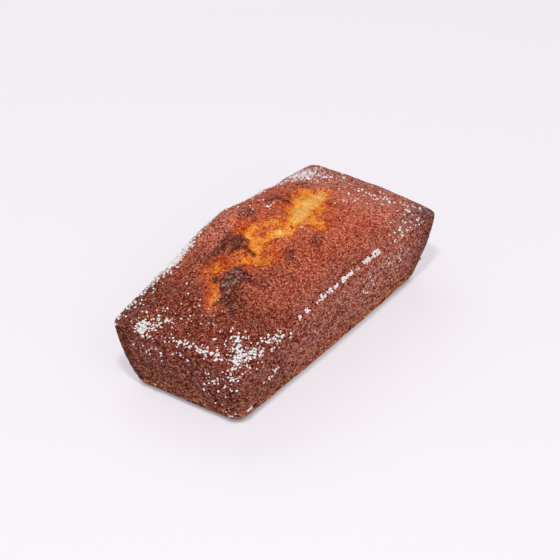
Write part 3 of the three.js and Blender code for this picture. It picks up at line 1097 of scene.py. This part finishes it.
@dataclass
class Loaf:
    """The baked loaf: risen top, leaning walls and flat base in one skin.

    Pairs of shares are for the top and for the walls.
    """

    form: LoafForm = field(default_factory=LoafForm)
    marks: CrustMarks = field(default_factory=CrustMarks)
    finish: CrustFinish = field(default_factory=CrustFinish)
    cells: tuple[int, int] = (272, 124)
    foot_rows: int = 8
    wall_rows: int = 60
    rim_rows: int = 5
    rim_reach: float = 2.0
    rim_passes: int = 16
    rim_smoothing: float = 0.5
    noise_seed: int = 7
    grain: tuple[Bumps, ...] = (Bumps(0.10, 1.1, 0.0), Bumps(0.06, 0.6, 40.0))
    grain_shares: Pair = (0.5, 1.0)
    pits: Bumps = Bumps(-0.24, 0.8, 25.0, cut=(0.25, 0.8))
    pit_shares: Pair = (0.35, 1.3)
    waves: Bumps = Bumps(0.14, 4.5, 55.0)
    crumb: Bumps = Bumps(0.32, 2.2, 9.0, layers=2)
    crumb_edge: Pair = (-1.0, 0.6)
    scorched: Bumps = Bumps(0.18, 1.4, 70.0, layers=2)
    base_fade: float = 1.2

    def build(self) -> bpy.types.Object:
        """Makes the loaf and dresses it.

        Returns:
            The loaf's object.
        """
        mesh, places = self._skin()
        self._roughen(mesh, places)
        self._mask(mesh, places)
        mesh.materials.append(self.finish.material())
        loaf = add_object("loaf", mesh)
        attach(loaf, "root")
        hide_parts("cake")
        return loaf

    def _skin(self) -> tuple[bpy.types.Mesh, Array]:
        """Makes the smooth skin from a grid whose border is drawn down to the base.

        Returns:
            The mesh, and each vertex's shares u and v and its row, which is 0 on the top.
        """
        skin = bmesh.new()
        bmesh.ops.create_grid(skin, x_segments=self.cells[0], y_segments=self.cells[1], size=1.0)
        row_layer = skin.verts.layers.int.new("row")
        border = [edge for edge in skin.edges if edge.is_boundary]
        for row in range(1, self.wall_rows + self.foot_rows + 1):
            drawn = bmesh.ops.extrude_edge_only(skin, edges=border)["geom"]
            for vertex in drawn:
                if isinstance(vertex, bmesh.types.BMVert):
                    vertex[row_layer] = row
            border = [edge for edge in drawn if isinstance(edge, bmesh.types.BMEdge) and edge.is_boundary]
        places = np.array([(*vertex.co[:2], vertex[row_layer]) for vertex in skin.verts])
        for vertex, point in zip(skin.verts, self._points(places)):
            vertex.co = point
        inward = self.form.inward(places[:, 0], places[:, 1])
        near_rim = (inward < self.rim_reach) & (places[:, 2] <= self.rim_rows)
        rim = [vertex for vertex, close in zip(skin.verts, near_rim) if close]
        every_axis = {f"use_axis_{axis}": True for axis in "xyz"}
        for _ in range(self.rim_passes):
            bmesh.ops.smooth_vert(skin, verts=rim, factor=self.rim_smoothing, **every_axis)
        bmesh.ops.contextual_create(skin, geom=border)
        bmesh.ops.recalc_face_normals(skin, faces=skin.faces)
        for face in skin.faces:
            face.smooth = True
        mesh = bpy.data.meshes.new("loaf")
        skin.to_mesh(mesh)
        skin.free()
        return mesh, places

    def _points(self, places: Array) -> Array:
        """Points of the smooth skin in millimetres."""
        u, v, row = places.T
        climb = np.clip(1.0 - row / self.wall_rows, 0.0, 1.0)
        foot = np.clip(1.0 - (row - self.wall_rows) / self.foot_rows, 0.0, 1.0) * math.pi / 2
        return np.where((row == 0)[:, None], self.form.top(u, v), self.form.wall(u, v, foot, climb))

    def _roughen(self, mesh: bpy.types.Mesh, places: Array) -> None:
        """Moves the skin in and out by its pores, crumb and crust grain, and brings it to metres.

        Args:
            mesh: The smooth skin, in millimetres.
            places: Each vertex's shares and row.
        """
        points = vertex_rows(mesh, "co")
        normals = vertex_rows(mesh, "normal")
        noise = LatticeNoise(self.noise_seed)
        on_top = places[:, 2] == 0
        x, y = self.marks.ragged(points)
        open_crumb = 1.0 - smoothstep(self.marks.gap(x, y, on_top), *self.crumb_edge)
        burnt = on_top * spot_strength(self.marks.scorches, x, y)
        move = np.where(on_top, *self.grain_shares) * sum(bumps.at(noise, points) for bumps in self.grain)
        move += np.where(on_top, *self.pit_shares) * self.pits.at(noise, points)
        move += self.waves.at(noise, points)
        move += open_crumb * self.crumb.at(noise, points)
        move += burnt * self.scorched.at(noise, points)
        base = smoothstep(points[:, 2], 0.0, self.base_fade)
        points = points + normals * (move * base)[:, None]
        points[:, 2] = np.maximum(points[:, 2], 0.0)
        mesh.vertices.foreach_set("co", (points * MM).ravel())
        mesh.update()

    def _mask(self, mesh: bpy.types.Mesh, places: Array) -> None:
        """Keeps the shares of the crust's colours on the vertices.

        Args:
            mesh: The finished skin, in metres.
            places: Each vertex's shares and row.
        """
        for name, mask in self.marks.masks(vertex_rows(mesh, "co") / MM, places).items():
            layer = mesh.attributes.new(name, "FLOAT", "POINT")
            layer.data.foreach_set("value", mask.astype(np.float32))


@dataclass(frozen=True)
class Strewn:
    """Grains along a line on one side of the loaf.

    The line's ends are in the shares that LoafForm.on takes, its stray and radii in millimetres.
    """

    side: Side
    start: Pair
    end: Pair
    stray: float
    count: int
    radius: Pair = (0.18, 0.48)


class Ground:
    """The loaf's rough skin, on which things are laid."""

    def __init__(self, loaf: bpy.types.Object) -> None:
        """Prepares the skin for quick searches."""
        mesh = loaf.data
        corners = [vertex.co / MM for vertex in mesh.vertices]
        self.tree = BVHTree.FromPolygons(corners, [tuple(face.vertices) for face in mesh.polygons])

    def lay(self, points: Array) -> tuple[Array, Array]:
        """Brings points to the skin.

        Args:
            points: Points near the skin in millimetres, one row each.

        Returns:
            The points on the skin and the directions out of it.
        """
        nearest = [self.tree.find_nearest(point) for point in points]
        return np.array([found[0] for found in nearest]), np.array([found[1] for found in nearest])


@dataclass
class Strewing:
    """Many small lumps joined in one mesh."""

    name: str
    finish: SugarFinish | CrumbFinish
    jitter: float = 0.25
    corners: int = 12
    small_power: float = 1.6
    stretch: Pair = (0.75, 1.35)
    flatness: Pair = (0.55, 0.9)
    stand: float = 0.3
    steep: float = 0.9
    heap: bmesh.types.BMesh = field(default_factory=bmesh.new)

    def __post_init__(self) -> None:
        """Makes room for the lumps' tints."""
        self.tint = self.heap.verts.layers.float.new("tint")

    def strew(self, centres: Array, outward: Array, sizes: Array, rng: np.random.Generator) -> None:
        """Adds lumps.

        Args:
            centres: Their middles in millimetres, one row each.
            outward: The direction away from the crust at each.
            sizes: Half sizes along the crust, across and away from it, one row each.
            rng: Source of the lumps' turns, unevenness and tints.
        """
        amount = len(centres)
        helper = np.where(np.abs(outward[:, :1]) < self.steep, (1.0, 0.0, 0.0), (0.0, 1.0, 0.0))
        along = np.cross(outward, helper)
        along /= np.linalg.norm(along, axis=1, keepdims=True)
        across = np.cross(outward, along)
        turn = rng.uniform(0.0, math.tau, (amount, 1))
        first = along * np.cos(turn) + across * np.sin(turn)
        second = across * np.cos(turn) - along * np.sin(turn)
        axes = np.stack([first, second, outward], axis=1) * sizes[:, :, None]
        uneven = 1.0 + self.jitter * rng.uniform(-1.0, 1.0, (amount, self.corners, 1))
        tints = rng.uniform(0.0, 1.0, amount)
        for centre, own_axes, swell, tint in zip(centres, axes, uneven, tints):
            lump = bmesh.ops.create_icosphere(self.heap, subdivisions=1, radius=1.0)["verts"]
            corners = np.array([vertex.co for vertex in lump]) * swell @ own_axes + centre
            for vertex, corner in zip(lump, corners * MM):
                vertex.co = corner
                vertex[self.tint] = tint

    def scatter(self, lines: Sequence[Strewn], ground: Ground, form: LoafForm, seed: int) -> None:
        """Adds lumps along lines on the loaf.

        Args:
            lines: Where they lie.
            ground: The loaf's skin.
            form: Shape of the loaf.
            seed: Start of the random numbers.
        """
        rng = np.random.default_rng(seed)
        for line in lines:
            count = line.count
            on_top = line.side is Side.TOP
            half_a = form.width / 2 if line.side in (Side.FRONT, Side.BACK) else form.length / 2
            half_b = form.width / 2 if on_top else form.rim_height
            share = rng.uniform(0.0, 1.0, count)
            a = line.start[0] + (line.end[0] - line.start[0]) * share
            b = line.start[1] + (line.end[1] - line.start[1]) * share
            a = np.clip(a + rng.normal(0.0, line.stray, count) / half_a, -1.0, 1.0)
            b = np.clip(b + rng.normal(0.0, line.stray, count) / half_b, -1.0 if on_top else 0.0, 1.0)
            size_share = rng.uniform(0.0, 1.0, count) ** self.small_power
            radius = (line.radius[0] + (line.radius[1] - line.radius[0]) * size_share)[:, None]
            middles, outward = ground.lay(form.on(line.side, a, b))
            stretch = rng.uniform(*self.stretch, (count, 1))
            sizes = radius * np.hstack([stretch, 1.0 / stretch, rng.uniform(*self.flatness, (count, 1))])
            self.strew(middles + outward * radius * self.stand, outward, sizes, rng)

    def build(self) -> bpy.types.Object:
        """Makes one piece of the lumps.

        Returns:
            The piece's object.
        """
        mesh = bpy.data.meshes.new(self.name)
        self.heap.to_mesh(mesh)
        self.heap.free()
        mesh.materials.append(self.finish.material())
        piece = add_object(self.name, mesh)
        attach(piece, "root")
        return piece


class SolidDraws:
    """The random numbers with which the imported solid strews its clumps."""

    FACTOR = 1664525
    STEP = 1013904223
    RANGE = 2**32

    def __init__(self, seed: int) -> None:
        """Starts the numbers."""
        self.state = seed

    def draw(self) -> float:
        """Next number from 0 to 1."""
        self.state = (self.state * self.FACTOR + self.STEP) % self.RANGE
        return self.state / self.RANGE


@dataclass
class Sugar:
    """Coarse sugar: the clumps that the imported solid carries, and loose grains round them."""

    ground: Ground
    form: LoafForm = field(default_factory=LoafForm)
    finish: SugarFinish = field(default_factory=SugarFinish)
    clump_lines: tuple[tuple[Pair, Pair, float, int], ...] = (
        ((-0.985, 0.48), (-0.925, 0.62), 0.035, 10),
        ((-0.92, 0.40), (-0.86, 0.33), 0.02, 4),
        ((-0.97, 0.05), (-0.95, -0.58), 0.015, 11),
        ((-0.76, -0.58), (-0.955, -0.88), 0.03, 18),
        ((-0.85, -0.83), (-0.80, -0.965), 0.03, 6),
        ((-0.74, -0.92), (-0.62, -0.965), 0.02, 4),
        ((-0.86, -0.36), (-0.86, -0.39), 0.01, 2),
        ((-0.46, -0.985), (-0.34, -0.985), 0.006, 2),
        ((-0.27, -0.985), (-0.06, -0.985), 0.006, 7),
        ((-0.02, -0.985), (0.10, -0.985), 0.006, 5),
        ((0.19, -0.985), (0.37, -0.985), 0.006, 8),
        ((0.80, -0.80), (0.88, -0.72), 0.03, 2),
        ((0.66, 0.84), (0.90, 0.45), 0.06, 9),
        ((-0.85, 0.975), (-0.30, 0.975), 0.006, 5),
    )
    clump_radius: Pair = (0.40, 0.78)
    clump_flattening: float = 0.7
    clump_margin: float = 1.25
    clump_seed: int = 20240
    clump_lean: float = 0.6
    clump_scatter: float = 0.42
    clump_jitter: float = 0.3
    clump_lift: Pair = (0.05, 0.6)
    clump_grain_share: Pair = (0.32, 0.58)
    clump_grain_shape: tuple[Triple, Triple] = ((0.8, 0.8, 0.6), (1.3, 1.3, 1.0))
    clump_corners: int = 12
    clump_grains: int = 7
    grain_seed: int = 11
    grains: tuple[Strewn, ...] = (
        Strewn(Side.TOP, (-0.98, 0.50), (-0.93, 0.60), 1.2, 40),
        Strewn(Side.TOP, (-0.96, 0.70), (-0.86, 0.25), 2.2, 34),
        Strewn(Side.TOP, (-0.975, 0.20), (-0.95, -0.58), 1.4, 44, (0.16, 0.48)),
        Strewn(Side.TOP, (-0.76, -0.58), (-0.955, -0.88), 1.6, 80, (0.14, 0.44)),
        Strewn(Side.TOP, (-0.88, -0.80), (-0.80, -0.96), 1.2, 36),
        Strewn(Side.TOP, (-0.80, -0.90), (-0.58, -0.96), 1.0, 30),
        Strewn(Side.TOP, (-0.90, 0.55), (-0.75, -0.50), 4.0, 46, (0.12, 0.38)),
        Strewn(Side.TOP, (-0.85, 0.85), (-0.60, 0.00), 4.5, 28, (0.12, 0.38)),
        Strewn(Side.TOP, (-0.97, 0.95), (-0.70, 0.90), 1.2, 18),
        Strewn(Side.TOP, (-0.72, 0.93), (-0.50, 0.92), 0.5, 24),
        Strewn(Side.TOP, (-0.56, 0.90), (-0.30, 0.89), 0.7, 90, (0.20, 0.55)),
        Strewn(Side.TOP, (-0.70, 0.84), (-0.40, 0.80), 1.2, 20),
        Strewn(Side.TOP, (-0.25, 0.86), (0.05, 0.86), 0.9, 26),
        Strewn(Side.TOP, (-0.46, -0.985), (-0.34, -0.985), 0.25, 7),
        Strewn(Side.TOP, (-0.27, -0.985), (-0.06, -0.985), 0.35, 15),
        Strewn(Side.TOP, (-0.02, -0.985), (0.10, -0.985), 0.35, 11),
        Strewn(Side.TOP, (0.13, -0.985), (0.18, -0.985), 0.20, 4),
        Strewn(Side.TOP, (0.19, -0.985), (0.37, -0.985), 0.40, 18),
        Strewn(Side.TOP, (0.45, -0.97), (0.85, -0.95), 0.8, 18),
        Strewn(Side.TOP, (0.72, -0.95), (0.88, -0.70), 1.6, 9),
        Strewn(Side.TOP, (0.78, -0.60), (0.92, -0.10), 2.2, 22),
        Strewn(Side.TOP, (0.85, 0.10), (0.92, 0.35), 1.6, 12),
        Strewn(Side.TOP, (0.62, 0.86), (0.93, 0.40), 1.9, 70, (0.12, 0.28)),
        Strewn(Side.TOP, (0.70, 0.85), (0.88, 0.62), 1.6, 60, (0.10, 0.20)),
        Strewn(Side.TOP, (0.17, 0.42), (0.22, 0.47), 0.7, 7),
        Strewn(Side.TOP, (0.105, -0.19), (0.12, -0.20), 0.3, 3, (0.2, 0.4)),
        Strewn(Side.TOP, (-0.01, -0.03), (0.00, -0.04), 0.3, 3, (0.2, 0.4)),
        Strewn(Side.TOP, (0.00, 0.62), (0.28, 0.66), 1.6, 7),
        Strewn(Side.TOP, (-0.60, 0.00), (0.70, -0.10), 9.0, 22, (0.12, 0.24)),
        Strewn(Side.FRONT, (-0.98, 0.92), (-0.75, 0.88), 0.8, 16),
        Strewn(Side.FRONT, (-0.62, 0.70), (-0.50, 0.62), 1.0, 14),
        Strewn(Side.FRONT, (-0.90, 0.66), (-0.55, 0.74), 1.4, 10),
        Strewn(Side.FRONT, (-0.20, 0.90), (0.00, 0.86), 1.0, 6),
        Strewn(Side.FRONT, (0.25, 0.82), (0.50, 0.74), 1.0, 10),
        Strewn(Side.FRONT, (0.40, 0.97), (0.65, 0.97), 0.7, 7),
        Strewn(Side.FRONT, (-0.90, 0.90), (0.70, 0.85), 3.0, 14),
        Strewn(Side.FRONT, (-0.90, 0.20), (-0.40, 0.50), 2.5, 10),
        Strewn(Side.FRONT, (-0.95, 0.10), (-0.75, 0.05), 0.9, 6),
        Strewn(Side.NEAR, (-0.97, 0.95), (-0.60, 0.95), 0.8, 12),
        Strewn(Side.NEAR, (-0.75, 0.62), (-0.66, 0.50), 0.8, 8),
        Strewn(Side.NEAR, (-0.92, 0.12), (-0.88, 0.10), 0.5, 4),
        Strewn(Side.NEAR, (-0.50, 0.80), (0.20, 0.60), 3.5, 12, (0.12, 0.24)),
        Strewn(Side.NEAR, (0.15, 0.85), (0.75, 0.60), 2.6, 36, (0.12, 0.26)),
        Strewn(Side.NEAR, (0.40, 0.75), (0.62, 0.62), 1.4, 12, (0.14, 0.30)),
        Strewn(Side.BACK, (-0.80, 0.80), (0.80, 0.75), 3.0, 40),
        Strewn(Side.FAR, (-0.90, 0.80), (0.90, 0.75), 3.4, 60),
        Strewn(Side.TOP, (-0.50, 0.86), (-0.30, 0.86), 0.9, 60, (0.25, 0.60)),
        Strewn(Side.NEAR, (0.18, 0.87), (0.35, 0.54), 0.5, 3, (0.30, 0.45)),
        Strewn(Side.NEAR, (0.43, 0.76), (0.50, 0.67), 0.4, 4, (0.25, 0.42)),
        Strewn(Side.NEAR, (0.18, 0.60), (0.27, 0.51), 0.3, 3, (0.30, 0.45)),
        Strewn(Side.NEAR, (-0.46, 0.86), (-0.58, 0.94), 0.4, 3, (0.30, 0.45)),
        Strewn(Side.NEAR, (-0.70, 0.45), (-0.81, 0.45), 0.5, 4, (0.30, 0.45)),
        Strewn(Side.TOP, (0.80, -0.35), (0.95, -0.80), 1.3, 16, (0.26, 0.46)),
        Strewn(Side.TOP, (0.72, -0.05), (0.90, -0.25), 1.6, 9, (0.26, 0.46)),
        Strewn(Side.TOP, (0.55, -0.80), (0.80, -0.90), 1.6, 7, (0.24, 0.42)),
        Strewn(Side.TOP, (0.55, 0.10), (0.70, -0.45), 2.6, 8, (0.22, 0.40)),
        Strewn(Side.TOP, (-0.95, -0.45), (-0.94, -0.93), 1.3, 24, (0.22, 0.50)),
        Strewn(Side.TOP, (0.10, 0.80), (0.65, 0.88), 0.6, 36, (0.18, 0.40)),
        Strewn(Side.TOP, (-0.95, 0.96), (-0.72, 0.95), 0.5, 20, (0.20, 0.45)),
    )

    def build(self) -> list[bpy.types.Object]:
        """Makes the clumps and the loose grains."""
        grains = Strewing("sugar_grains", self.finish)
        grains.scatter(self.grains, self.ground, self.form, self.grain_seed)
        return [self._clumps(), grains.build()]

    def _clumps(self) -> bpy.types.Object:
        """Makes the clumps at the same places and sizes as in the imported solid, each a heap of grains.

        Returns:
            The clumps' object.
        """
        u, v, radius = self._clump_places().T
        count = len(radius)
        rng = np.random.default_rng(self.clump_seed)
        middles, upward = self.ground.lay(self.form.top(u, v))
        upward = upward + (0.0, 0.0, self.clump_lean)
        upward /= np.linalg.norm(upward, axis=1, keepdims=True)
        clumps = Strewing("sugar_clumps", self.finish, jitter=self.clump_jitter)
        for i in range(self.clump_grains):
            aside = rng.normal(0.0, self.clump_scatter, (count, 3)) * radius[:, None] * (i > 0)
            aside -= upward * np.sum(aside * upward, axis=1, keepdims=True)
            lift = radius * self.clump_flattening * rng.uniform(*self.clump_lift, count)
            size = radius * rng.uniform(*self.clump_grain_share, count)
            sizes = size[:, None] * rng.uniform(*self.clump_grain_shape, (count, 3))
            clumps.strew(middles + aside + upward * lift[:, None], upward, sizes, rng)
        return clumps.build()

    def _clump_places(self) -> Array:
        """Shares u and v and the radius of each clump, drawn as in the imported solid."""
        draw = SolidDraws(self.clump_seed).draw
        places = []
        half = (self.form.length / 2, self.form.width / 2)
        for start, end, spread, count in self.clump_lines:
            for i in range(count):
                along = (i + draw()) / count
                stray = [draw() + draw() - 1.0, draw() + draw() - 1.0]
                radius = np.interp(draw() ** 2, (0.0, 1.0), self.clump_radius)
                middle = [a + (b - a) * along + spread * s for a, b, s in zip(start, end, stray)]
                reach = [1.0 - self.clump_margin * radius / size for size in half]
                places.append((*np.clip(middle, np.negative(reach), reach), radius))
                for _ in range(self.clump_corners + 1):
                    draw()
        return np.array(places)


@dataclass
class Crumbs:
    """Loose golden crumbs and a flake of torn crumb."""

    ground: Ground
    form: LoafForm = field(default_factory=LoafForm)
    finish: CrumbFinish = field(default_factory=CrumbFinish)
    seed: int = 5
    lines: tuple[Strewn, ...] = (
        Strewn(Side.NEAR, (-0.90, 0.08), (0.90, 0.10), 2.2, 40, (0.12, 0.28)),
        Strewn(Side.FRONT, (-0.90, 0.06), (0.90, 0.08), 1.6, 12, (0.12, 0.28)),
        Strewn(Side.BACK, (-0.90, 0.06), (0.90, 0.08), 1.8, 14, (0.12, 0.28)),
        Strewn(Side.FAR, (-0.90, 0.08), (0.90, 0.10), 2.2, 36, (0.12, 0.28)),
        Strewn(Side.NEAR, (-0.78, 0.85), (-0.80, 0.79), 0.05, 4, (0.28, 0.42)),
        Strewn(Side.NEAR, (0.94, 0.24), (0.95, 0.23), 0.10, 3, (0.30, 0.45)),
        Strewn(Side.FRONT, (0.60, 0.02), (0.36, 0.02), 0.20, 5, (0.22, 0.38)),
    )

    def build(self) -> bpy.types.Object:
        """Makes the crumbs."""
        crumbs = Strewing("crumbs", self.finish)
        crumbs.scatter(self.lines, self.ground, self.form, self.seed)
        return crumbs.build()


@dataclass(frozen=True)
class Lamp:
    """A square lamp that faces the loaf."""

    name: str
    toward: Triple
    distance: float
    size: float
    share: float

    def build(self) -> None:
        """Hangs the lamp so that it gives its share of the floor's light."""
        direction = Vector(self.toward).normalized()
        light = bpy.data.lights.new(self.name, "AREA")
        light.size = self.size
        light.energy = self.share * (math.pi * self.distance) ** 2 / direction.z
        lamp = add_object(self.name, light)
        lamp.location = direction * self.distance
        lamp.rotation_mode = "QUATERNION"
        lamp.rotation_quaternion = (-direction).to_track_quat("-Z", "Y")


@dataclass
class Studio:
    """Pale floor, plain studio light and the camera."""

    floor_finish: FloorFinish = field(default_factory=FloorFinish)
    floor_half: float = 3.0
    sky: Colour = (0.98, 0.97, 1.0)
    sky_strength: float = 0.34
    lamps: tuple[Lamp, ...] = (
        Lamp("key", (-0.48, -0.27, 1.0), 1.0, 0.10, 0.50),
        Lamp("fill", (-0.44, -0.63, 0.64), 1.2, 0.9, 0.20),
        Lamp("back", (0.40, 0.65, 0.85), 1.2, 1.0, 0.20),
    )
    azimuth: float = math.radians(-55.1)
    elevation: float = math.radians(34.6)
    distance: float = 1.0
    aim: Triple = (0.0, 0.0, 0.010)
    framing: Pair = (0.00055, 0.00574)
    pixels_per_metre: float = 3475.0
    image_width: int = 560
    near_clip: float = 0.01

    def build(self) -> None:
        """Sets the floor, the light and the camera."""
        self._floor()
        self._light()
        self._camera()
        bpy.context.scene.view_settings.view_transform = "Standard"

    def _floor(self) -> None:
        """Lays the floor under the loaf."""
        sheet = bmesh.new()
        bmesh.ops.create_grid(sheet, x_segments=2, y_segments=2, size=self.floor_half)
        mesh = bpy.data.meshes.new("floor")
        sheet.to_mesh(mesh)
        sheet.free()
        mesh.materials.append(self.floor_finish.material())
        floor = add_object("floor", mesh)

    def _light(self) -> None:
        """Lights the scene from all round, and more strongly with the lamps."""
        world = bpy.data.worlds.new("studio")
        world.use_nodes = True
        background = world.node_tree.nodes["Background"]
        background.inputs["Color"].default_value = (*self.sky, 1.0)
        background.inputs["Strength"].default_value = self.sky_strength
        bpy.context.scene.world = world
        for lamp in self.lamps:
            lamp.build()

    def _camera(self) -> None:
        """Sets the camera at the photograph's angle."""
        camera = add_object("camera", bpy.data.cameras.new("camera"))
        right = Vector((math.cos(self.azimuth), math.sin(self.azimuth), 0.0))
        level = Vector((math.sin(self.azimuth), -math.cos(self.azimuth), 0.0))
        back = level * math.cos(self.elevation) + Vector((0.0, 0.0, math.sin(self.elevation)))
        aside = right * self.framing[0] + back.cross(right) * self.framing[1]
        camera.location = Vector(self.aim) + aside + back * self.distance
        camera.rotation_mode = "QUATERNION"
        camera.rotation_quaternion = (-back).to_track_quat("-Z", "Y")
        focal_pixels = self.pixels_per_metre * self.distance
        camera.data.lens = focal_pixels * camera.data.sensor_width / self.image_width
        camera.data.clip_start = self.near_clip
        bpy.context.scene.camera = camera


def main() -> None:
    """Builds the loaf, what lies on it and the studio."""
    logging.basicConfig(level=logging.INFO, format="%(message)s")
    loaf = Loaf().build()
    ground = Ground(loaf)
    pieces = [loaf, *Sugar(ground).build(), Crumbs(ground).build()]
    for piece in pieces:
        LOG.info("%s: %d faces", piece.name, len(piece.data.polygons))
    Studio().build()


if __name__ == "__main__":
    main()
